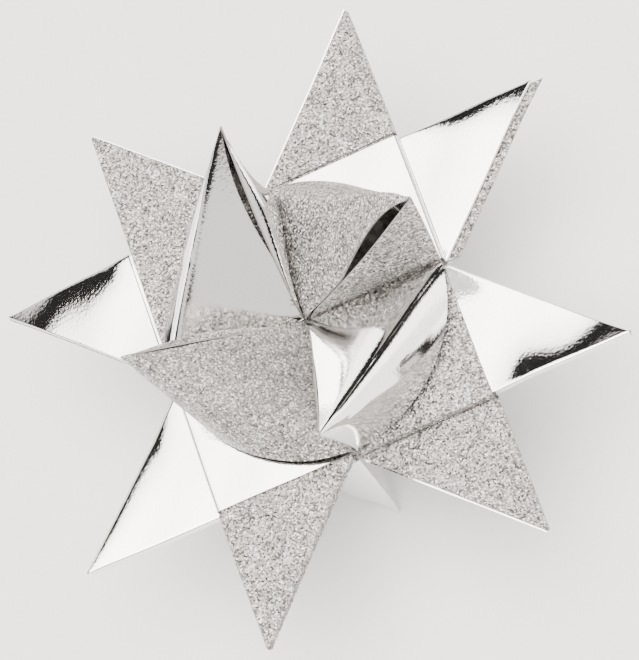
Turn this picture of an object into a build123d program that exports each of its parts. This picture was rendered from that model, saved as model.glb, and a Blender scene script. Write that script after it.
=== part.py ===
from build123d import *
import math
import os

# Folded paper star, in millimetres. Four equal strips of paper are woven into a square, and
# every strip end is folded into one flat point and one hollow cone, so the star has eight
# flat points, four cones in front and four behind. Nothing is glued or pinned.
#
# Frame: origin at the middle of the woven square, +Z out of the front of the star, X and Y
# along the rows and columns of the weave. The star maps onto itself under a quarter turn
# about Z and under a half turn about X.

# ---- sizes that can be set by themselves ------------------------------------------------
STRIP_WIDTH = 25.0      # width of every paper strip
PAPER = 0.30            # thickness of the laminated paper
LAYER_GAP = 0.12        # air between two layers that lie on each other
CONE_REACH = 29.0       # cone tip, measured from the star's axis along its row
CONE_HEIGHT = 26.0      # cone tip above the middle plane of the star
CONE_BULGE = 1.6        # how far the cone's mouth swells past a quarter circle
MOUTH_LIFT = 0.8        # how far the cone's mouth stands off the woven square
TIP_OPENING = 1.2       # length that is missing from every crease at a cone's tip
TAIL_OVERHANG = 0.4     # how far a trimmed tail sticks out of the flat point it is tucked in
CONE_FACETS = 10        # flat facets around a cone's swelling side

# ---- sizes that follow ------------------------------------------------------------------
PITCH = PAPER + LAYER_GAP                   # from one layer's middle to the next
MITRE = PAPER / 2 * math.sin(math.radians(45))    # a 45 degree fold sticks out past the edge
FOLD_OUT = PAPER / 2 + MITRE + LAYER_GAP    # a fold stands this far outside what it wraps
NEAR = PITCH + FOLD_OUT                     # strip edge beside the star's axis
FAR = NEAR + STRIP_WIDTH                    # strip edge at the rim of the woven square
POINT_BASE = FAR + FOLD_OUT + PAPER / 2 + LAYER_GAP    # a flat point starts clear of the rim
POINT_TIP = POINT_BASE + STRIP_WIDTH
SLOT_TOP = 5.5 * PITCH                      # where a cone's ramp bends down into the weave
MOUTH = 4.5 * PITCH + PAPER / 2 + MOUTH_LIFT
RAMP_RUN = 2 * MOUTH_LIFT                   # plain stretch of the ramp beside the mouth

# Layers of one quarter, counted from the middle plane in steps of PITCH.
UNDER, OVER, POINT_A, TAIL, POINT_C, TOP = -0.5, 0.5, 1.5, 2.5, 3.5, 4.5


def across_y(y, layer):
    """Line across the column of the strip, at one place along Y and on one layer."""
    return Vector(NEAR, y, layer * PITCH), Vector(FAR, y, layer * PITCH)


def hypotenuse(layer):
    """The 45 degree crease of the flat point above the column, on one layer."""
    return Vector(NEAR, POINT_BASE, layer * PITCH), Vector(FAR, POINT_TIP, layer * PITCH)


def outer_leg(layer):
    """The fold along the outer leg of the flat point, on one layer."""
    x = FAR + FOLD_OUT
    return Vector(x, POINT_BASE, layer * PITCH), Vector(x, POINT_TIP, layer * PITCH)


def cone_lines():
    """Lines from near the cone's tip to its mouth, from the upright wall round to the ramp."""
    tip = Vector(CONE_REACH, PITCH, CONE_HEIGHT)
    slope = math.atan2(CONE_HEIGHT - SLOT_TOP, CONE_REACH)
    start = Vector(FAR, PITCH, MOUTH)
    end = Vector(RAMP_RUN * math.cos(slope), FAR, SLOT_TOP + RAMP_RUN * math.sin(slope))
    lines = []
    for i in range(CONE_FACETS + 1):
        u = i / CONE_FACETS
        turn = (1 - u) * math.atan2(start.Y, start.X) + u * math.atan2(end.Y, end.X)
        swell = math.sin(math.pi * u)
        radius = (1 - u) * math.hypot(start.X, start.Y) + u * math.hypot(end.X, end.Y)
        radius += CONE_BULGE * swell
        height = (1 - u) * start.Z + u * end.Z + MOUTH_LIFT * swell
        mouth = Vector(radius * math.cos(turn), radius * math.sin(turn), height)
        lines.append((tip + (mouth - tip).normalized() * TIP_OPENING, mouth))
    return lines


def half_strip():
    """Crease lines of half a strip, from the middle of the strip to its trimmed tail."""
    rim = FAR + FOLD_OUT
    tail = POINT_BASE + TAIL_OVERHANG
    return [
        across_y(0, UNDER),             # middle of the strip, between two quarters
        across_y(-rim, UNDER),          # wraps the rim of the woven square
        across_y(-rim, TOP),
        across_y(-PITCH, TOP),          # dives under the next quarter
        across_y(-PITCH, POINT_A),
        hypotenuse(POINT_A),            # flat point: out, behind, round the leg, back in
        hypotenuse(OVER),
        outer_leg(OVER),
        outer_leg(TOP),
        hypotenuse(TOP),
        hypotenuse(POINT_C),
        across_y(PITCH, POINT_C),       # comes up out of the weave as the cone's wall
        *cone_lines(),
        (Vector(0, NEAR, SLOT_TOP), Vector(0, FAR, SLOT_TOP)),    # foot of the cone's ramp
        (Vector(0, NEAR, TAIL * PITCH), Vector(0, FAR, TAIL * PITCH)),
        (Vector(-tail, NEAR, TAIL * PITCH), Vector(-tail - STRIP_WIDTH, FAR, TAIL * PITCH)),
    ]


def turned_over(line):
    """The same line after a half turn about X."""
    return tuple(Vector(point.X, -point.Y, -point.Z) for point in line)


def half_thickness(normals, i):
    """From a crease's middle line to its outer side, mitred between the panels it joins."""
    before = normals[max(i - 1, 0)]
    after = normals[min(i, len(normals) - 1)]
    return (before + after) * (PAPER / 2 / (1 + before.dot(after)))


def sheet(lines):
    """Solid of paper thickness through a chain of crease lines, with mitred folds."""
    normals = []
    for (inner, outer), (next_inner, next_outer) in zip(lines, lines[1:]):
        forward = (next_inner + next_outer) - (inner + outer)
        normals.append((outer - inner + next_outer - next_inner).cross(forward).normalized())
    rings = []
    for i, (inner, outer) in enumerate(lines):
        out = half_thickness(normals, i)
        rings.append([inner + out, outer + out, outer - out, inner - out])
    faces = [polygon(rings[0]), polygon(rings[-1])]
    for a, b in zip(rings, rings[1:]):
        faces.append(polygon([a[0], a[1], b[1], b[0]]))
        faces.append(polygon([a[2], a[3], b[3], b[2]]))
        for j, k in ((1, 2), (3, 0)):
            faces.append(polygon([a[j], a[k], b[k]]))
            faces.append(polygon([a[j], b[k], b[j]]))
    return Solid(Shell(faces))


def polygon(points):
    """Flat face inside a closed outline of straight edges."""
    return Face(Wire.make_polygon(points, close=True))


half = half_strip()
right_strip = sheet([turned_over(line) for line in reversed(half)] + half)

os.makedirs("parts", exist_ok=True)
strips = ("glitter_strip_right", "mirror_strip_top", "glitter_strip_left", "mirror_strip_bottom")
for quarter, name in enumerate(strips):
    strip = Rot(0, 0, 90 * quarter) * right_strip
    strip.label = name
    export_step(strip, f"parts/{name}.step")
    print(name, "volume", round(strip.volume, 1), "mm3, valid", strip.is_valid)
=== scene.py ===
# %% [markdown]
# # A woven paper star
# Four strips of silver paper, two smooth as a mirror and two covered in glitter, are folded
# in half, woven into a square, and every end is folded into a flat point and a hollow cone.
# It could be modelled as sixteen loose points on a plate. Here each strip stays one sheet
# from end to end, as on a workbench, so every fold, slot and tucked tail is where paper
# would really put it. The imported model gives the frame, and everything is in metres.

# %% Load the frame
import math
import bpy
import numpy as np
from mathutils import Matrix, Vector


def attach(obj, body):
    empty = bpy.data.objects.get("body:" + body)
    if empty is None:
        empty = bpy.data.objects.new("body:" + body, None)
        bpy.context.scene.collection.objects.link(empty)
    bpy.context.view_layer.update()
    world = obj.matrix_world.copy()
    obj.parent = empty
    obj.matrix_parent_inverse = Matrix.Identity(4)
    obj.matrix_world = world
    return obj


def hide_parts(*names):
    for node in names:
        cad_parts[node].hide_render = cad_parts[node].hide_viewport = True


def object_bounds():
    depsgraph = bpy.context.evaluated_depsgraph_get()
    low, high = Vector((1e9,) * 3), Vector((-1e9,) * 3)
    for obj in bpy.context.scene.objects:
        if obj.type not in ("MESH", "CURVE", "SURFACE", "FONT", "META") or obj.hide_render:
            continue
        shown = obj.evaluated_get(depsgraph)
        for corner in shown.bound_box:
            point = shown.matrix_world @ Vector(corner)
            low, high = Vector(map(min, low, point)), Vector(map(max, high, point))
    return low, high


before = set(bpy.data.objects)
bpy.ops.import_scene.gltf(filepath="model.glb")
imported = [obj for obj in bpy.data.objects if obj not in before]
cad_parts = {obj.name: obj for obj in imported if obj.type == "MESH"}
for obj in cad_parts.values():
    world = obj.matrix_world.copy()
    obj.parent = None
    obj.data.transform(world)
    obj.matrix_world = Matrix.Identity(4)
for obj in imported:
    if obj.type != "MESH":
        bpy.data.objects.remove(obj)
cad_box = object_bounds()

MM = 0.001
print("frame:", sorted(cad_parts), "box", [round(v / MM, 1) for v in cad_box[1]])

# %% [markdown]
# ## Sizes of the paper
# A folded sheet is described by a few lengths: the strip's width, the paper's thickness and
# the air between layers. All the rest follows. Layers are counted from the middle of the
# star in steps of one pitch, and the star's own box gives the height of the cones.

# %% Sizes
WIDTH = 25.0 * MM
PAPER = 0.30 * MM
AIR = 0.12 * MM
PITCH = PAPER + AIR
FOLD_OUT = PAPER / 2 + PAPER / 2 * math.sin(math.radians(45)) + AIR
NEAR = PITCH + FOLD_OUT
FAR = NEAR + WIDTH
BASE = FAR + FOLD_OUT + PAPER / 2 + AIR
TIP = BASE + WIDTH
# heights of the layers, in pitches from the middle of the star
UNDER, OVER, POINT_A, TAIL, POINT_C, TOP = -0.5, 0.5, 1.5, 2.5, 3.5, 4.5
SLOT_TOP = (TOP + 1) * PITCH
MOUTH = TOP * PITCH + PAPER / 2 + 0.35 * MM
CONE_OUT, CONE_UP = 3.2 * MM, 0.4 * MM
CONE_TIP = np.array([FAR + CONE_OUT, PITCH, cad_box[1].z + CONE_UP])
RAMP_SLOPE = math.atan2(CONE_TIP[2] - SLOT_TOP, CONE_TIP[0])
print("strip", WIDTH / MM, "mm wide, star", round(2 * math.hypot(FAR, TIP) / MM, 1), "mm tip to tip")

# %% [markdown]
# ## Half a strip as a chain of lines
# Folded paper is a ruled surface: straight lines across the strip, joined panel by panel.
# So the sheet is a list of such lines, each with its inner end, its outer end, how softly
# the paper turns there, and how finely the panel behind it is divided. The list below walks
# from the middle of the right-hand strip, round the rim of the square, through a flat
# point, into the weave, and up round a cone to the trimmed tail.

# %% Lines of half a strip
def crossing(y, layer):
    """Line straight across the strip's column."""
    return np.array([NEAR, y, layer * PITCH]), np.array([FAR, y, layer * PITCH])


def hypotenuse(layer):
    """The 45 degree crease of the flat point."""
    return np.array([NEAR, BASE, layer * PITCH]), np.array([FAR, TIP, layer * PITCH])


def outer_leg(layer):
    """The fold along the outer leg of the flat point."""
    x = FAR + FOLD_OUT
    return np.array([x, BASE, layer * PITCH]), np.array([x, TIP, layer * PITCH])


TIP_OPENING = 0.4 * MM
MOUTH_SWELL, MOUTH_LIFT, CREST_END = -0.5 * MM, 0.4 * MM, 1.6 * MM


def mouth_line(u):
    """Line from near the cone's tip to its mouth, u from the upright wall to the ramp."""
    start = np.array([FAR, PITCH, MOUTH])
    end = np.array([CREST_END * math.cos(RAMP_SLOPE), FAR, SLOT_TOP + CREST_END * math.sin(RAMP_SLOPE)])
    turn = (1 - u) * math.atan2(start[1], start[0]) + u * math.atan2(end[1], end[0])
    swell = math.sin(math.pi * u)
    radius = (1 - u) * math.hypot(*start[:2]) + u * math.hypot(*end[:2]) + MOUTH_SWELL * swell
    height = (1 - u) * start[2] + u * end[2] + MOUTH_LIFT * swell
    mouth = np.array([radius * math.cos(turn), radius * math.sin(turn), height])
    along = (mouth - CONE_TIP) / np.linalg.norm(mouth - CONE_TIP)
    return CONE_TIP + along * TIP_OPENING, mouth


# %% Half a strip
TIGHT, RIM_BEND, WALL_BEND = 0.19 * MM, 0.42 * MM, 1.6 * MM
TAIL_OUT = 0.3 * MM
# lines in the fan of the cone's mouth, rows on the ramp, and how they crowd at the crest
FAN, RAMP_STEPS, CROWDED = 36, 30, 1.6


def half_strip():
    """Lines of half a strip: (inner end, outer end, bend size, panel divisions, name)."""
    rim, tail = FAR + FOLD_OUT, BASE + TAIL_OUT
    lines = [
        (*crossing(0, 0), 0, 1, "riser"),
        (*crossing(0, UNDER), TIGHT, 12, "under"),
        (*crossing(-rim, UNDER), RIM_BEND, 2, "rim"),
        (*crossing(-rim, TOP), RIM_BEND, 16, "top"),
        (*crossing(-PITCH, TOP), RIM_BEND, 2, "riser"),
        (*crossing(-PITCH, POINT_A), TIGHT, 16, "point_a"),
        (*hypotenuse(POINT_A), TIGHT, 1, "crease"),
        (*hypotenuse(OVER), TIGHT, 12, "point_b"),
        (*outer_leg(OVER), RIM_BEND, 2, "leg"),
        (*outer_leg(TOP), RIM_BEND, 24, "point_front"),
        (*hypotenuse(TOP), TIGHT, 1, "crease"),
        (*hypotenuse(POINT_C), TIGHT, 20, "point_c"),
        (*crossing(PITCH, POINT_C), RIM_BEND, 22, "wall"),
    ]
    for i in range(FAN + 1):
        last = i == FAN
        lines.append((*mouth_line(1 - (1 - i / FAN) ** CROWDED), 0 if i else WALL_BEND,
                      RAMP_STEPS if last else 1, "ramp" if last else "fan"))
    lines += [
        (np.array([0, NEAR, SLOT_TOP]), np.array([0, FAR, SLOT_TOP]), RIM_BEND, 2, "riser"),
        (np.array([0, NEAR, TAIL * PITCH]), np.array([0, FAR, TAIL * PITCH]), TIGHT, 26, "tail"),
        (np.array([-tail, NEAR, TAIL * PITCH]), np.array([-tail - WIDTH, FAR, TAIL * PITCH]), 0, 0, "end"),
    ]
    return lines


lines = half_strip()
print("half a strip has", len(lines), "lines")

# %% [markdown]
# ## Rolling the chain out into a sheet
# Every line is cut into the same number of steps across the strip, and each run of points
# along the strip is a path with soft corners. A corner's size shrinks where its panels are
# short, as at the tip of a point. An extra row sits close beside each fold of a long panel,
# so that the fold stays narrow in the reflections and the panel behind it stays flat.

# %% Soft corners
ACROSS = 30
SEAM_BEND = 0.25 * MM
# most of a panel that one corner may take, and where the row beside a fold lies
CORNER_SHARE, ROW_BESIDE = 0.48, 0.02


def soft_corner(before, corner, after, bend):
    """Points of a rounded corner, for every step across the strip at once."""
    back = before - corner
    ahead = after - corner
    back_length = np.linalg.norm(back, axis=1, keepdims=True)
    ahead_length = np.linalg.norm(ahead, axis=1, keepdims=True)
    size = np.minimum(bend, CORNER_SHARE * np.minimum(back_length, ahead_length))
    start = corner + back / back_length * size
    end = corner + ahead / ahead_length * size
    steps = 5 if np.max(bend) < 1 * MM else 10
    return [start * (1 - t) ** 2 + corner * 2 * t * (1 - t) + end * t ** 2
            for t in np.linspace(0, 1, steps)]


# %% Sheet from a chain of lines
def roll_out(lines):
    """Grid of points, rows along the strip by steps across it, with each row's panel and place."""
    part = np.linspace(0, 1, ACROSS + 1)[:, None]
    path = [inner * (1 - part) + outer * part for inner, outer, *_ in lines]
    rows, names, places = [], [], []

    def softness(bend):
        """Size of a bend across the strip; the wall's grows from the seam outwards."""
        return SEAM_BEND + (WALL_BEND - SEAM_BEND) * part ** 0.6 if bend == WALL_BEND else bend

    def add(row, name, place):
        rows.append(row)
        names.append(name)
        places.append(place)

    for i, (_, _, bend, steps, name) in enumerate(lines):
        if bend and 0 < i < len(lines) - 1:
            corner = soft_corner(path[i - 1], path[i], path[i + 1], softness(bend))
        else:
            corner = [path[i]]
        for row in corner:
            add(row, name, 0.0)
        if i == len(lines) - 1:
            break
        next_bend = lines[i + 1][2]
        here, there = corner[-1], path[i + 1]
        if next_bend:
            back = here - there
            length = np.linalg.norm(back, axis=1, keepdims=True)
            full = np.linalg.norm(path[i] - path[i + 1], axis=1, keepdims=True)
            taken = np.minimum(softness(next_bend), CORNER_SHARE * full)
            there = there + back / np.maximum(length, 1e-9) * taken
        margin = ROW_BESIDE if steps > 4 else 0.0
        for k in range(1, steps):
            t = (k / steps) ** (CROWDED if name == "ramp" else 1)
            if margin and k == 1 and name != "ramp":
                add(here * (1 - margin) + there * margin, name, margin)
            add(here * (1 - t) + there * t, name, t)
            if margin and k == steps - 1:
                add(here * margin + there * (1 - margin), name, 1 - margin)
    return np.array(rows), names, np.array(places)


# %% Rounded crest
CREST_SPREAD = 1.4 * MM
FINE_POINTS = 1200


def round_crest(grid, names, spread):
    """Rounds the fold between the fan and the ramp, by averaging along the paper near it."""
    crest = names.index("ramp")
    first, last = names.index("fan"), len(names) - 1 - names[::-1].index("ramp")
    smooth = grid.copy()
    for column in range(grid.shape[1]):
        path = grid[first:last + 1, column]
        travelled = np.r_[0, np.cumsum(np.linalg.norm(np.diff(path, axis=0), axis=1))]
        fan_length = travelled[crest - first]
        sigma = min(spread, 0.25 * fan_length)
        fine = np.linspace(0, travelled[-1], FINE_POINTS)
        dense = np.stack([np.interp(fine, travelled, path[:, axis]) for axis in range(3)], axis=1)
        for row in range(first, last + 1):
            here = travelled[row - first]
            reach = min(here, travelled[-1] - here, 3 * sigma)
            if abs(here - fan_length) > 4 * sigma or reach < sigma * 0.05:
                continue
            bell = np.exp(-((fine - here) / sigma) ** 2 / 2)
            weight = np.where(np.abs(fine - here) <= reach, bell, 0)
            if weight.sum() > 0:
                smooth[row, column] = (weight[:, None] * dense).sum(axis=0) / weight.sum()
    return smooth


grid, names, places = roll_out(lines)
grid = round_crest(grid, names, CREST_SPREAD)
print("sheet of", grid.shape[0], "rows by", grid.shape[1], "points")

# %% [markdown]
# ## What the folder's hands do
# Pulled paper isn't flat. The wall and the ramp of a cone bow outwards, and the seam gapes
# into a slit where the ramp's free edge curves away. These moves are written as amounts
# stored on the sheet's points, so each of the eight cones can later lean, gape and bow by
# its own measure.

# %% Amounts on the sheet's points
LEAN_REACH = 1.6 * WIDTH
# where the slit opens below the tip and how long it is, as shares of the seam
SLIT_START, SLIT_LENGTH = 0.04, 0.62


def panel(*wanted):
    """True on the rows of the named panels."""
    return np.array([n in wanted for n in names])[:, None]


across = np.linspace(0, 1, ACROSS + 1)[None, :].repeat(len(names), axis=0)
along = places[:, None].repeat(ACROSS + 1, axis=1)
height = np.clip((grid[:, :, 2] - SLOT_TOP) / (CONE_TIP[2] - SLOT_TOP), 0, 1)
distance = np.linalg.norm(grid - CONE_TIP, axis=2)
seam_length = np.linalg.norm(CONE_TIP[[0, 2]] - np.array([0, SLOT_TOP]))
near_tip = np.clip(distance / seam_length, 0, 1)
lens = np.clip((near_tip - SLIT_START) / SLIT_LENGTH, 0, 1)
amounts = {
    "lean": np.where(panel("wall", "fan", "ramp"), height * np.clip(1 - distance / LEAN_REACH, 0, 1), 0),
    "gape": np.where(panel("ramp"), np.sin(np.pi * lens ** 0.85) * (1 - across) ** 3, 0),
    "shut": np.where(panel("ramp"), near_tip * (1 - across) ** 3, 0),
    "rise": np.where(panel("wall"),
                     np.clip(along / 0.08, 0, 1) * (1 - along) ** 0.8 * (1 - across) ** 4, 0),
    "wall_bow": np.where(panel("wall"),
                         np.sin(np.pi * along) ** 1.2 * np.sin(np.pi * across) ** 0.32, 0),
    "ramp_bow": np.where(panel("ramp"), np.sin(np.pi * along) * np.sin(np.pi * across) ** 0.7, 0),
    "tail_end": np.where(panel("end"), 1.0, 0) + np.zeros_like(across),
}
print("amounts:", {k: round(float(v.max()), 2) for k, v in amounts.items()})

# %% Half a strip as a mesh
def sheet_object(name, grid, amounts):
    """Mesh of quads through the grid, with every amount as an attribute of its points."""
    count, wide = grid.shape[:2]
    index = np.arange(count * wide).reshape(count, wide)
    quads = np.stack([index[:-1, :-1], index[:-1, 1:], index[1:, 1:], index[1:, :-1]], axis=-1)
    mesh = bpy.data.meshes.new(name)
    mesh.from_pydata(grid.reshape(-1, 3).tolist(), [], quads.reshape(-1, 4).tolist())
    for key, values in amounts.items():
        mesh.attributes.new(key, "FLOAT", "POINT").data.foreach_set("value", values.ravel())
    thing = bpy.data.objects.new(name, mesh)
    bpy.context.scene.collection.objects.link(thing)
    return thing


half = sheet_object("half_strip", grid, amounts)
print("half strip:", len(half.data.vertices), "points")

# %% [markdown]
# ## One tree for all four strips
# The star repeats twice over: each strip is half a sheet plus the same half turned over,
# and the four strips are quarter turns of one. A Geometry Nodes tree says exactly that. It
# joins the two halves, gives the sheet its thickness on both sides, paints the cut edges
# with their own material, and turns the strip to its place.

# %% Geometry Nodes helpers
def new_node(tree, kind, **settings):
    """Node of a tree, with its settings made in one call."""
    node = tree.nodes.new(kind)
    for key, value in settings.items():
        setattr(node, key, value)
    return node


def named_attribute(tree, name, kind):
    """Node that reads a stored amount or direction."""
    node = new_node(tree, "GeometryNodeInputNamedAttribute", data_type=kind)
    node.inputs["Name"].default_value = name
    return node.outputs["Attribute"]


def store(tree, geometry, name, kind, value):
    """Writes a value or a socket to the points under a name, and returns the geometry."""
    node = new_node(tree, "GeometryNodeStoreNamedAttribute", data_type=kind, domain="POINT")
    tree.links.new(geometry, node.inputs["Geometry"])
    node.inputs["Name"].default_value = name
    if isinstance(value, bpy.types.NodeSocket):
        tree.links.new(value, node.inputs["Value"])
    else:
        node.inputs["Value"].default_value = value
    return node.outputs["Geometry"]


def scaled(tree, vector, factor):
    """Vector socket times a float socket."""
    node = new_node(tree, "ShaderNodeVectorMath", operation="SCALE")
    tree.links.new(vector, node.inputs[0])
    tree.links.new(factor, node.inputs["Scale"])
    return node.outputs["Vector"]


def times(tree, value, factor):
    """Float socket times a plain number."""
    node = new_node(tree, "ShaderNodeMath", operation="MULTIPLY")
    tree.links.new(value, node.inputs[0])
    node.inputs[1].default_value = factor
    return node.outputs["Value"]


# %% The strip tree
WELD = 0.001 * MM


def strip_tree():
    """Tree that makes a whole strip, at its place, from the mesh of half a sheet."""
    tree = bpy.data.node_groups.new("whole_strip", "GeometryNodeTree")
    face = tree.interface
    face.new_socket(name="Half Sheet", in_out="INPUT", socket_type="NodeSocketGeometry")
    face.new_socket(name="Paper Thickness", in_out="INPUT", socket_type="NodeSocketFloat")
    face.new_socket(name="Quarter Turns", in_out="INPUT", socket_type="NodeSocketFloat")
    face.new_socket(name="Face Material", in_out="INPUT", socket_type="NodeSocketMaterial")
    face.new_socket(name="Cut Edge Material", in_out="INPUT", socket_type="NodeSocketMaterial")
    face.new_socket(name="Strip", in_out="OUTPUT", socket_type="NodeSocketGeometry")
    link = tree.links.new
    entry = new_node(tree, "NodeGroupInput")
    sheet = entry.outputs["Half Sheet"]

    over = new_node(tree, "GeometryNodeTransform")
    over.inputs["Rotation"].default_value = (math.pi, 0, 0)
    flip = new_node(tree, "GeometryNodeFlipFaces")
    join = new_node(tree, "GeometryNodeJoinGeometry")
    weld = new_node(tree, "GeometryNodeMergeByDistance")
    weld.inputs["Distance"].default_value = WELD
    link(sheet, over.inputs["Geometry"])
    link(over.outputs["Geometry"], flip.inputs["Mesh"])
    link(store(tree, flip.outputs["Mesh"], "rear", "FLOAT", 1.0), join.inputs["Geometry"])
    link(store(tree, sheet, "rear", "FLOAT", 0.0), join.inputs["Geometry"])
    link(join.outputs["Geometry"], weld.inputs["Geometry"])

    normal = new_node(tree, "GeometryNodeInputNormal")
    middle = store(tree, weld.outputs["Geometry"], "out", "FLOAT_VECTOR", normal.outputs["Normal"])
    thickness = entry.outputs["Paper Thickness"]
    back = new_node(tree, "GeometryNodeSetPosition")
    link(middle, back.inputs["Geometry"])
    link(scaled(tree, named_attribute(tree, "out", "FLOAT_VECTOR"), times(tree, thickness, -0.5)),
         back.inputs["Offset"])
    grow = new_node(tree, "GeometryNodeExtrudeMesh", mode="FACES")
    grow.inputs["Individual"].default_value = False
    link(back.outputs["Geometry"], grow.inputs["Mesh"])
    link(scaled(tree, named_attribute(tree, "out", "FLOAT_VECTOR"), times(tree, thickness, 1.0)),
         grow.inputs["Offset"])
    under = new_node(tree, "GeometryNodeFlipFaces")
    link(back.outputs["Geometry"], under.inputs["Mesh"])
    shell = new_node(tree, "GeometryNodeJoinGeometry")
    close = new_node(tree, "GeometryNodeMergeByDistance")
    close.inputs["Distance"].default_value = WELD
    link(under.outputs["Mesh"], shell.inputs["Geometry"])
    link(grow.outputs["Mesh"], shell.inputs["Geometry"])
    link(shell.outputs["Geometry"], close.inputs["Geometry"])

    turn = new_node(tree, "GeometryNodeTransform")
    angle = new_node(tree, "ShaderNodeCombineXYZ")
    link(times(tree, entry.outputs["Quarter Turns"], math.pi / 2), angle.inputs["Z"])
    link(angle.outputs["Vector"], turn.inputs["Rotation"])
    link(close.outputs["Geometry"], turn.inputs["Geometry"])
    real = new_node(tree, "GeometryNodeRealizeInstances")
    faces = new_node(tree, "GeometryNodeSetMaterial")
    edges = new_node(tree, "GeometryNodeSetMaterial")
    link(turn.outputs["Geometry"], real.inputs["Geometry"])
    link(real.outputs["Geometry"], faces.inputs["Geometry"])
    link(entry.outputs["Face Material"], faces.inputs["Material"])
    link(faces.outputs["Geometry"], edges.inputs["Geometry"])
    link(grow.outputs["Side"], edges.inputs["Selection"])
    link(entry.outputs["Cut Edge Material"], edges.inputs["Material"])
    done = new_node(tree, "NodeGroupOutput")
    link(edges.outputs["Geometry"], done.inputs["Strip"])
    return tree


tree = strip_tree()
print("tree", tree.name, "has", len(tree.nodes), "nodes")

# %% [markdown]
# ## Glitter
# Glitter is thousands of tiny mirrors glued on at every angle. Real flakes would be far too
# many, so a Voronoi pattern splits the surface into cells the size of a flake. Each cell
# tips the surface its own way and takes its own shade, and the studio's light does the
# rest: some cells catch the lamp and others the dark ring round it.

# %% Shader helpers
def group_tree(name, inputs, outputs):
    """Empty shader group with named float inputs and named outputs."""
    tree = bpy.data.node_groups.new(name, "ShaderNodeTree")
    for socket, value in inputs.items():
        made = tree.interface.new_socket(name=socket, in_out="INPUT", socket_type="NodeSocketFloat")
        made.default_value = value
    for socket, kind in outputs.items():
        tree.interface.new_socket(name=socket, in_out="OUTPUT", socket_type=kind)
    return tree, new_node(tree, "NodeGroupInput"), new_node(tree, "NodeGroupOutput")


def plain_material(name):
    """Material with only a Principled shader, and the parts needed to wire it."""
    material = bpy.data.materials.new(name)
    material.use_nodes = True
    tree = material.node_tree
    tree.nodes.clear()
    shader = new_node(tree, "ShaderNodeBsdfPrincipled")
    output = new_node(tree, "ShaderNodeOutputMaterial")
    tree.links.new(shader.outputs["BSDF"], output.inputs["Surface"])
    return material, tree, shader


# %% Glitter group
def glitter_group():
    """Flakes: a colour and a normal for each cell, at a size given in cells per metre."""
    tree, entry, done = group_tree(
        "glitter_flakes", {"Flakes Per Metre": 3700.0, "Tilt": 0.8},
        {"Color": "NodeSocketColor", "Roughness": "NodeSocketFloat", "Normal": "NodeSocketVector"})
    link = tree.links.new
    place = new_node(tree, "ShaderNodeTexCoord")
    cells = new_node(tree, "ShaderNodeTexVoronoi", voronoi_dimensions="3D", feature="F1")
    link(place.outputs["Object"], cells.inputs["Vector"])
    link(entry.outputs["Flakes Per Metre"], cells.inputs["Scale"])
    centred = new_node(tree, "ShaderNodeVectorMath", operation="SUBTRACT")
    centred.inputs[1].default_value = (0.5, 0.5, 0.5)
    link(cells.outputs["Color"], centred.inputs[0])
    tipped = scaled(tree, centred.outputs["Vector"], entry.outputs["Tilt"])
    surface = new_node(tree, "ShaderNodeNewGeometry")
    total = new_node(tree, "ShaderNodeVectorMath", operation="ADD")
    link(tipped, total.inputs[0])
    link(surface.outputs["Normal"], total.inputs[1])
    unit = new_node(tree, "ShaderNodeVectorMath", operation="NORMALIZE")
    link(total.outputs["Vector"], unit.inputs[0])
    split = new_node(tree, "ShaderNodeSeparateColor")
    link(cells.outputs["Color"], split.inputs["Color"])
    shade = new_node(tree, "ShaderNodeValToRGB")
    shade.color_ramp.elements[0].position = 0.0
    shade.color_ramp.elements[0].color = (0.03, 0.029, 0.028, 1)
    shade.color_ramp.elements[1].position = 1.0
    shade.color_ramp.elements[1].color = (1.0, 0.97, 0.94, 1)
    shade.color_ramp.elements.new(0.25).color = (0.15, 0.144, 0.138, 1)
    shade.color_ramp.elements.new(0.78).color = (0.41, 0.395, 0.38, 1)
    link(split.outputs["Red"], shade.inputs["Fac"])
    link(shade.outputs["Color"], done.inputs["Color"])
    gloss = new_node(tree, "ShaderNodeMapRange")
    gloss.inputs["To Min"].default_value = 0.22
    gloss.inputs["To Max"].default_value = 0.5
    link(split.outputs["Green"], gloss.inputs["Value"])
    link(gloss.outputs["Result"], done.inputs["Roughness"])
    link(unit.outputs["Vector"], done.inputs["Normal"])
    return tree


def glitter_paper():
    """Silver glitter glued all over the strip."""
    material, tree, shader = plain_material("silver_glitter_paper")
    flakes = new_node(tree, "ShaderNodeGroup", node_tree=glitter_group())
    tree.links.new(flakes.outputs["Color"], shader.inputs["Base Color"])
    tree.links.new(flakes.outputs["Roughness"], shader.inputs["Roughness"])
    tree.links.new(flakes.outputs["Normal"], shader.inputs["Normal"])
    shader.inputs["Metallic"].default_value = 0.25
    return material


# %% [markdown]
# ## Mirror foil
# The smooth strips are paper with a bright metal film. A perfect mirror would look like
# glass: film on paper has a fine grain from the fibres under it, which frays the edge of
# every reflection, so two noises of different size roughen its normals.

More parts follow.
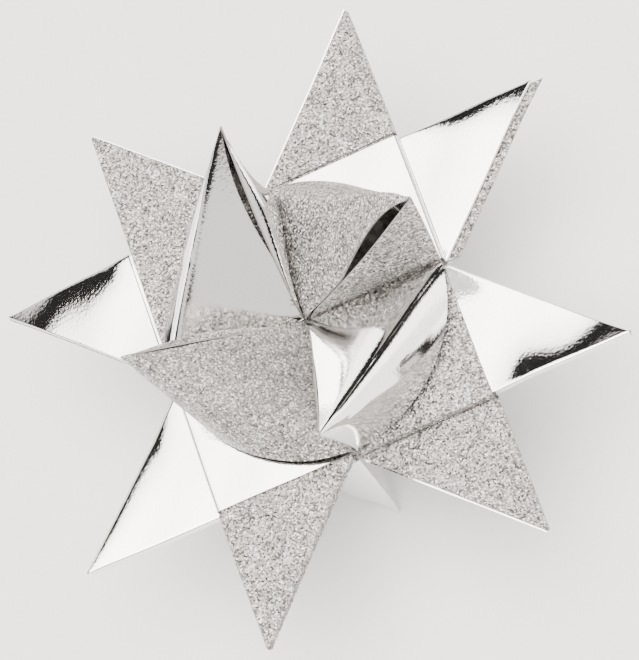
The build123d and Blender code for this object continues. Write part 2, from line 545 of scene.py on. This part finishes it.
# %% Foil
def foil_paper():
    """Bright metal film on paper."""
    material, tree, shader = plain_material("silver_mirror_foil")
    link = tree.links.new
    place = new_node(tree, "ShaderNodeTexCoord")
    fibres = new_node(tree, "ShaderNodeTexNoise")
    fibres.inputs["Scale"].default_value = 1900
    fibres.inputs["Detail"].default_value = 3
    slow = new_node(tree, "ShaderNodeTexNoise")
    slow.inputs["Scale"].default_value = 120
    slow.inputs["Detail"].default_value = 2
    for noise in (fibres, slow):
        link(place.outputs["Object"], noise.inputs["Vector"])
    fine = new_node(tree, "ShaderNodeBump")
    fine.inputs["Strength"].default_value = 0.35
    fine.inputs["Distance"].default_value = 0.05 * MM
    link(fibres.outputs["Fac"], fine.inputs["Height"])
    wavy = new_node(tree, "ShaderNodeBump")
    wavy.inputs["Strength"].default_value = 0.10
    wavy.inputs["Distance"].default_value = 0.4 * MM
    link(slow.outputs["Fac"], wavy.inputs["Height"])
    link(fine.outputs["Normal"], wavy.inputs["Normal"])
    link(wavy.outputs["Normal"], shader.inputs["Normal"])
    shader.inputs["Base Color"].default_value = (0.90, 0.89, 0.88, 1)
    shader.inputs["Metallic"].default_value = 1.0
    shader.inputs["Roughness"].default_value = 0.06
    return material


def cut_edge_painted_shade():
    """Core of the paper, seen where a strip was cut, painted dark grey as shade."""
    material, tree, shader = plain_material("white_paper_core")
    # this dark grey is painted shade: it stands in for the shadow line along each cut edge
    shader.inputs["Base Color"].default_value = (0.26, 0.25, 0.24, 1)
    shader.inputs["Roughness"].default_value = 0.8
    return material


glitter, foil, cut_edge_shade_material = glitter_paper(), foil_paper(), cut_edge_painted_shade()
print("materials:", [m.name for m in bpy.data.materials])

# %% Four strips
def drop_empty_slots(mesh):
    """Keeps only the material slots that hold a material."""
    slots = list(mesh.materials)
    index = np.zeros(len(mesh.polygons), dtype=np.int32)
    mesh.polygons.foreach_get("material_index", index)
    kept = [m for m in slots if m]
    moved = np.array([kept.index(m) if m else 0 for m in slots])
    mesh.materials.clear()
    for material in kept:
        mesh.materials.append(material)
    mesh.polygons.foreach_set("material_index", moved[index].astype(np.int32))


def whole_strip(name, turns, paper):
    """Runs the tree for one strip and keeps its result as a plain mesh."""
    maker = half.modifiers.new("whole strip", "NODES")
    maker.node_group = tree
    values = {"Paper Thickness": PAPER, "Quarter Turns": float(turns),
              "Face Material": paper, "Cut Edge Material": cut_edge_shade_material}
    for item in tree.interface.items_tree:
        if item.in_out == "INPUT" and item.name in values:
            maker[item.identifier] = values[item.name]
    half.update_tag()
    bpy.context.view_layer.update()
    ready = half.evaluated_get(bpy.context.evaluated_depsgraph_get())
    mesh = bpy.data.meshes.new_from_object(ready)
    half.modifiers.remove(maker)
    mesh.name = name
    drop_empty_slots(mesh)
    strip = bpy.data.objects.new(name, mesh)
    bpy.context.scene.collection.objects.link(strip)
    return strip


order = (("glitter_strip_right", glitter), ("mirror_strip_top", foil),
         ("glitter_strip_left", glitter), ("mirror_strip_bottom", foil))
strips = [whole_strip(name + "_paper", turns, paper) for turns, (name, paper) in enumerate(order)]
bpy.data.objects.remove(half)
for strip in strips:
    print(strip.name, len(strip.data.polygons), "faces", [m.name for m in strip.data.materials])

# %% [markdown]
# ## Shaping each cone and point one by one
# No two cones of a folded star are alike. Each leans, gapes and bows by its own measure, and
# every flat point is bent a little off the plane. Points are bent by where they are and not by
# which sheet they belong to, so layers that lie on each other move together. A bowed wall
# comes to rest on the ramp next to it, as paper does, instead of cutting through it.

# %% Amounts for each cone
# lean along its row, sideways and up; gape of the slit; bow of the wall; bow of the ramp (mm)
FRONT = ((-0.9, 1.8, 1.0, 2.2, 0.5, 0.6), (0.7, -2.2, 0.0, 1.1, 3.3, 0.3),
         (-0.7, 1.2, -1.3, 0.35, 2.8, 1.2), (0.9, -0.8, -0.2, 0.3, 1.0, 1.0))
REAR = ((0.4, 0.5, -0.3, 0.9, 1.5, 1.0), (-0.5, 0.3, 0.0, 0.6, 1.4, 0.8),
        (0.3, -0.4, -0.4, 1.2, 1.6, 1.2), (-0.2, 0.6, -0.2, 0.7, 1.5, 0.9))
# how far the front and the rear tail of each strip stick out (mm)
TAIL_MORE = ((0.0, 0.5), (-0.1, 0.4), (0.1, 1.9), (0.6, 0.3))
# how far the wall's free edge rises, and how far the ramp's free edge closes up to it
WALL_RISE = 1.2 * MM
SEAM_GAP = FOLD_OUT - PAPER / 2 - 0.06 * MM
# air and softness where a wall rests on a ramp, and the share of the ramp's bow it makes room for
WALL_AIR, WALL_SOFT, RAMP_SHARE = 0.1 * MM, 0.12 * MM, 0.6


def read(mesh, name):
    """Amounts of a mesh's points as an array."""
    values = np.zeros(len(mesh.vertices), dtype=np.float32)
    mesh.attributes[name].data.foreach_get("value", values)
    return values.astype(float)


def quarter_turns(turns):
    """Matrix that turns the right-hand strip to another strip's place."""
    return np.array(Matrix.Rotation(turns * math.pi / 2, 3, "Z"))


def shape_cones(points, mesh, turns):
    """Leans, gapes and bows one strip's two cones, and sets how far its tails stick out."""
    turn = quarter_turns(turns)
    front, rear = FRONT[turns], REAR[turns]
    side = read(mesh, "rear")
    for own, flip, mask, tail in ((front, 1, side < 0.5, TAIL_MORE[turns][0]),
                                  (rear, -1, side > 0.5, TAIL_MORE[turns][1])):
        moves = {
            "lean": np.array([own[0], own[1] * flip, own[2] * flip]),
            "gape": np.array([0, flip, 0.3 * flip]) * own[3],
            "shut": np.array([0, -flip, 0]) * SEAM_GAP / MM,
            "rise": np.array([0, 0, flip]) * WALL_RISE / MM,
            "wall_bow": np.array([0, -flip, 0.15 * flip]) * own[4],
            "ramp_bow": np.array([-math.sin(RAMP_SLOPE), 0, math.cos(RAMP_SLOPE) * flip]) * own[5],
            "tail_end": np.array([-1, 0, 0]) * tail,
        }
        for name, move in moves.items():
            amount = read(mesh, name) * mask
            points += amount[:, None] * (turn @ move * MM)[None, :]


def rest_walls(points, mesh, turns):
    """Keeps each bowed wall lying on the neighbour's ramp instead of cutting through it."""
    turn = quarter_turns(turns)
    own = points @ turn
    side = read(mesh, "rear")
    wall = read(mesh, "wall_bow") > 0
    for flip, mask, below in ((1, side < 0.5, FRONT[turns - 1][5]),
                              (-1, side > 0.5, REAR[(turns + 1) % 4][5])):
        clear = PAPER + WALL_AIR + RAMP_SHARE * below * MM
        rise = own[:, 2] * flip - SLOT_TOP
        lowest = np.minimum((clear - rise * math.cos(RAMP_SLOPE)) / math.sin(RAMP_SLOPE), PITCH)
        gap = own[:, 1] * flip - lowest
        lifted = lowest + (gap + np.sqrt(gap ** 2 + WALL_SOFT ** 2)) / 2
        own[:, 1] = np.where(mask & wall, lifted * flip, own[:, 1])
    points[:] = own @ turn.T


# %% Amounts for each flat point
# how far the tip of each point is bent up (mm), by its side in X and Y and the way it points
POINT_BEND = {(1, 1, "y"): 1.8, (1, 1, "x"): 0.4, (1, -1, "x"): -1.1, (1, -1, "y"): 0.3,
              (-1, -1, "y"): -1.7, (-1, -1, "x"): 0.9, (-1, 1, "x"): -1.8, (-1, 1, "y"): 0.1}
# how a foil point rolls beside one edge: slope in degrees, width at its base and tip (mm), and
# the share of the point over which the roll grows from nothing
POINT_ROLL = {(-1, 1, "x", "leg"): (8.2, 6.0, 13.0, 0.2), (1, -1, "x", "leg"): (-14.0, 7.0, 13.0, 0.28),
              (1, 1, "x", "leg"): (10.8, 1.0, 9.0, 0.2), (-1, -1, "x", "long side"): (14.0, 9.0, 0.5, 0.3)}
# height above or below the middle where the bends have faded out, and over how much they fade
FLAT_END, FLAT_FADE = 6 * MM, 3 * MM
# how much the sheets are pulled in and lifted at the middle, how far out, and from what height
PINCH, PINCH_REACH = 0.8, 2.2 * MM
CROWD, CROWD_REACH, CROWD_FROM, CROWD_FADE = 0.3 * MM, 2.4 * MM, 1.9 * MM, 1.5 * MM


def bend_points(points, flat):
    """Bends each flat point off the plane, more and more towards its tip."""
    for (x_side, y_side, axis), bend in POINT_BEND.items():
        reach = points[:, 0] * x_side if axis == "x" else points[:, 1] * y_side
        here = (points[:, 0] * x_side > 0) & (points[:, 1] * y_side > 0) & (reach > BASE)
        part = np.clip((reach - BASE) / WIDTH, 0, 2)
        points[:, 2] += np.where(here, bend * MM * part ** 1.6, 0) * flat


def roll_points(points, flat):
    """Rolls each foil point beside one edge, which draws a dark band in its reflection."""
    for (x_side, y_side, axis, edge), (slope, base_width, tip_width, grow) in POINT_ROLL.items():
        x, y = points[:, 0] * x_side, points[:, 1] * y_side
        reach, side = (x, y) if axis == "x" else (y, x)
        here = (x > 0) & (y > 0) & (reach > BASE)
        part = np.clip((reach - BASE) / WIDTH, 0, 1)
        to_long_side = (side - NEAR - reach + BASE) / math.sqrt(2)
        inside = FAR + FOLD_OUT - side if edge == "leg" else to_long_side
        wide = (base_width * (1 - part) + tip_width * part) * MM
        near = np.clip(1 - inside / wide, 0, 1.2)
        drop = np.where(here, math.radians(slope) * wide / 2 * near ** 2, 0)
        points[:, 2] -= drop * np.clip(part / grow, 0, 1) * flat


def crowd_middle(points):
    """Pulls the sheets in, and lifts them, where four cones crowd at the middle."""
    radius = np.hypot(points[:, 0], points[:, 1])
    points[:, :2] *= (1 - PINCH * np.exp(-(radius / PINCH_REACH) ** 2))[:, None]
    crowd = np.clip((np.abs(points[:, 2]) - CROWD_FROM) / CROWD_FADE, 0, 1)
    points[:, 2] += np.sign(points[:, 2]) * crowd * CROWD * np.exp(-(radius / CROWD_REACH) ** 2)


def ripple(points):
    """Slow ripples of paper folded by hand, about a tenth of a millimetre high."""
    x, y = points[:, 0] / MM, points[:, 1] / MM
    broad = 0.10 * np.sin(x / 4.1 + 0.7) * np.sin(y / 5.3 + 0.4)
    slanted = 0.06 * np.sin(x / 2.7 - y / 3.3)
    points[:, 2] += (broad + slanted) * MM


# %% Shape and place the strips
SHARP_ABOVE = math.radians(50)
for turns, strip in enumerate(strips):
    mesh = strip.data
    points = np.zeros(len(mesh.vertices) * 3, dtype=np.float32)
    mesh.vertices.foreach_get("co", points)
    points = points.reshape(-1, 3).astype(float)
    shape_cones(points, mesh, turns)
    rest_walls(points, mesh, turns)
    flat = np.clip((FLAT_END - np.abs(points[:, 2])) / FLAT_FADE, 0, 1)
    bend_points(points, flat)
    roll_points(points, flat)
    crowd_middle(points)
    ripple(points)
    mesh.vertices.foreach_set("co", points.astype(np.float32).ravel())
    mesh.shade_smooth()
    mesh.set_sharp_from_angle(angle=SHARP_ABOVE)
    mesh.update()
    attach(strip, "root")
    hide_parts(strip.name.removesuffix("_paper"))
print("strips placed:", [s.name for s in strips])

# %% [markdown]
# ## Floor, light and camera
# A mirror shows the room, so the room is part of the material. The star lies on a pale floor
# under a large soft lamp. Round the lamp's edge the studio is dark, and its walls are pale
# again: that ring is what draws the thin black bands along every crease of the foil.

# %% Floor
FLOOR_HALF = 3.0


def pale_floor():
    """Plain pale floor under the star's rear cones."""
    mesh = bpy.data.meshes.new("floor")
    low = cad_box[0].z
    corners = [(x * FLOOR_HALF, y * FLOOR_HALF, low) for x, y in ((-1, -1), (1, -1), (1, 1), (-1, 1))]
    mesh.from_pydata(corners, [], [(0, 1, 2, 3)])
    material, tree, shader = plain_material("pale_floor")
    shader.inputs["Base Color"].default_value = (0.93, 0.93, 0.93, 1)
    shader.inputs["Roughness"].default_value = 0.9
    shader.inputs["Specular IOR Level"].default_value = 0.1
    mesh.materials.append(material)
    floor = bpy.data.objects.new("floor", mesh)
    bpy.context.scene.collection.objects.link(floor)
    return floor


print("floor at", round(pale_floor().data.vertices[0].co.z / MM, 1), "mm")

# %% Studio
LAMP = 9.0
# strength of the walls against the height of the direction, 0 level and 1 overhead
WALLS = ((0.0, 5.0), (0.25, 5.0), (0.26, 0.03), (0.44, 0.03), (0.45, 1.5), (1.0, 1.6))


def direction(azimuth, elevation):
    """Unit vector towards a place round the star; azimuth 0 is towards -Y."""
    a, e = math.radians(azimuth), math.radians(elevation)
    return Vector((math.sin(a) * math.cos(e), -math.cos(a) * math.cos(e), math.sin(e)))


def grey(value):
    """Warm light of a given strength."""
    return (value, value * 0.95, value * 0.91, 1)


def light_ramp(tree, socket, stops):
    """Colour ramp through (position, strength) stops."""
    ramp = new_node(tree, "ShaderNodeValToRGB")
    ramp.color_ramp.elements[0].position = stops[0][0]
    ramp.color_ramp.elements[1].position = stops[-1][0]
    for position, _ in stops[1:-1]:
        ramp.color_ramp.elements.new(position)
    for element, (_, value) in zip(ramp.color_ramp.elements, stops):
        element.color = grey(value)
    tree.links.new(socket, ramp.inputs["Fac"])
    return ramp.outputs["Color"]


def studio_world(lamp_towards, lamp_radius, dark_radius):
    """Soft round lamp overhead, a dark ring round it, and pale walls with a dark band."""
    world = bpy.data.worlds.new("studio")
    bpy.context.scene.world = world
    world.use_nodes = True
    tree = world.node_tree
    tree.nodes.clear()
    link = tree.links.new
    place = new_node(tree, "ShaderNodeTexCoord")
    toward = new_node(tree, "ShaderNodeVectorMath", operation="DOT_PRODUCT")
    toward.inputs[1].default_value = lamp_towards
    link(place.outputs["Generated"], toward.inputs[0])
    height = new_node(tree, "ShaderNodeSeparateXYZ")
    link(place.outputs["Generated"], height.inputs["Vector"])
    walls = light_ramp(tree, height.outputs["Z"], WALLS)
    lamp_edge, dark_edge = math.cos(math.radians(lamp_radius)), math.cos(math.radians(dark_radius))
    shades = ((0.0, 0.003), (lamp_edge - 0.004, 0.003), (lamp_edge, 0.5), (0.92, 0.95), (1.0, 1.25))
    lamp = light_ramp(tree, toward.outputs["Value"], shades)
    inside = new_node(tree, "ShaderNodeMapRange")
    inside.inputs["From Min"].default_value = dark_edge
    inside.inputs["From Max"].default_value = dark_edge + 0.02
    link(toward.outputs["Value"], inside.inputs["Value"])
    mix = new_node(tree, "ShaderNodeMixShader")
    link(inside.outputs["Result"], mix.inputs[0])
    for slot, colour, strength in ((1, walls, 1.0), (2, lamp, LAMP)):
        light = new_node(tree, "ShaderNodeBackground")
        light.inputs["Strength"].default_value = strength
        link(colour, light.inputs["Color"])
        link(light.outputs["Background"], mix.inputs[slot])
    output = new_node(tree, "ShaderNodeOutputWorld")
    link(mix.outputs["Shader"], output.inputs["Surface"])


studio_world(direction(202, 88), lamp_radius=37, dark_radius=49)
print("studio:", bpy.context.scene.world.name)

# %% [markdown]
# The camera looks down on the star from well above one side, through a long lens, so that the
# cones hide little of the flat points behind them.

# %% Camera
def camera_towards(aim, azimuth, elevation, roll, distance, lens):
    """Camera at a place round the star, rolled about its own line of sight."""
    data = bpy.data.cameras.new("camera")
    camera = bpy.data.objects.new("camera", data)
    bpy.context.scene.collection.objects.link(camera)
    back = direction(azimuth, elevation)
    right = Vector((math.cos(math.radians(azimuth)), math.sin(math.radians(azimuth)), 0))
    up = back.cross(right)
    c, s = math.cos(math.radians(roll)), math.sin(math.radians(roll))
    rolled_right, rolled_up = right * c + up * s, up * c - right * s
    turn = Matrix((rolled_right, rolled_up, back)).transposed()
    camera.matrix_world = Matrix.Translation(aim + back * distance) @ turn.to_4x4()
    data.lens = lens
    data.clip_start, data.clip_end = 0.01, 20
    bpy.context.scene.camera = camera


camera_towards(Vector((1.06, -1.18, -0.70)) * MM, azimuth=22.15, elevation=64.9, roll=-44.25,
               distance=0.646, lens=201.8)
print("camera:", bpy.context.scene.camera.name)

# %% [markdown]
# ## Sizes
# The bows and bends above are small, so the finished star should still fill the packed model's box, which
# is printed below.

# %% Sizes and finish
print("cad", [[round(c / MM, 1) for c in v] for v in cad_box])
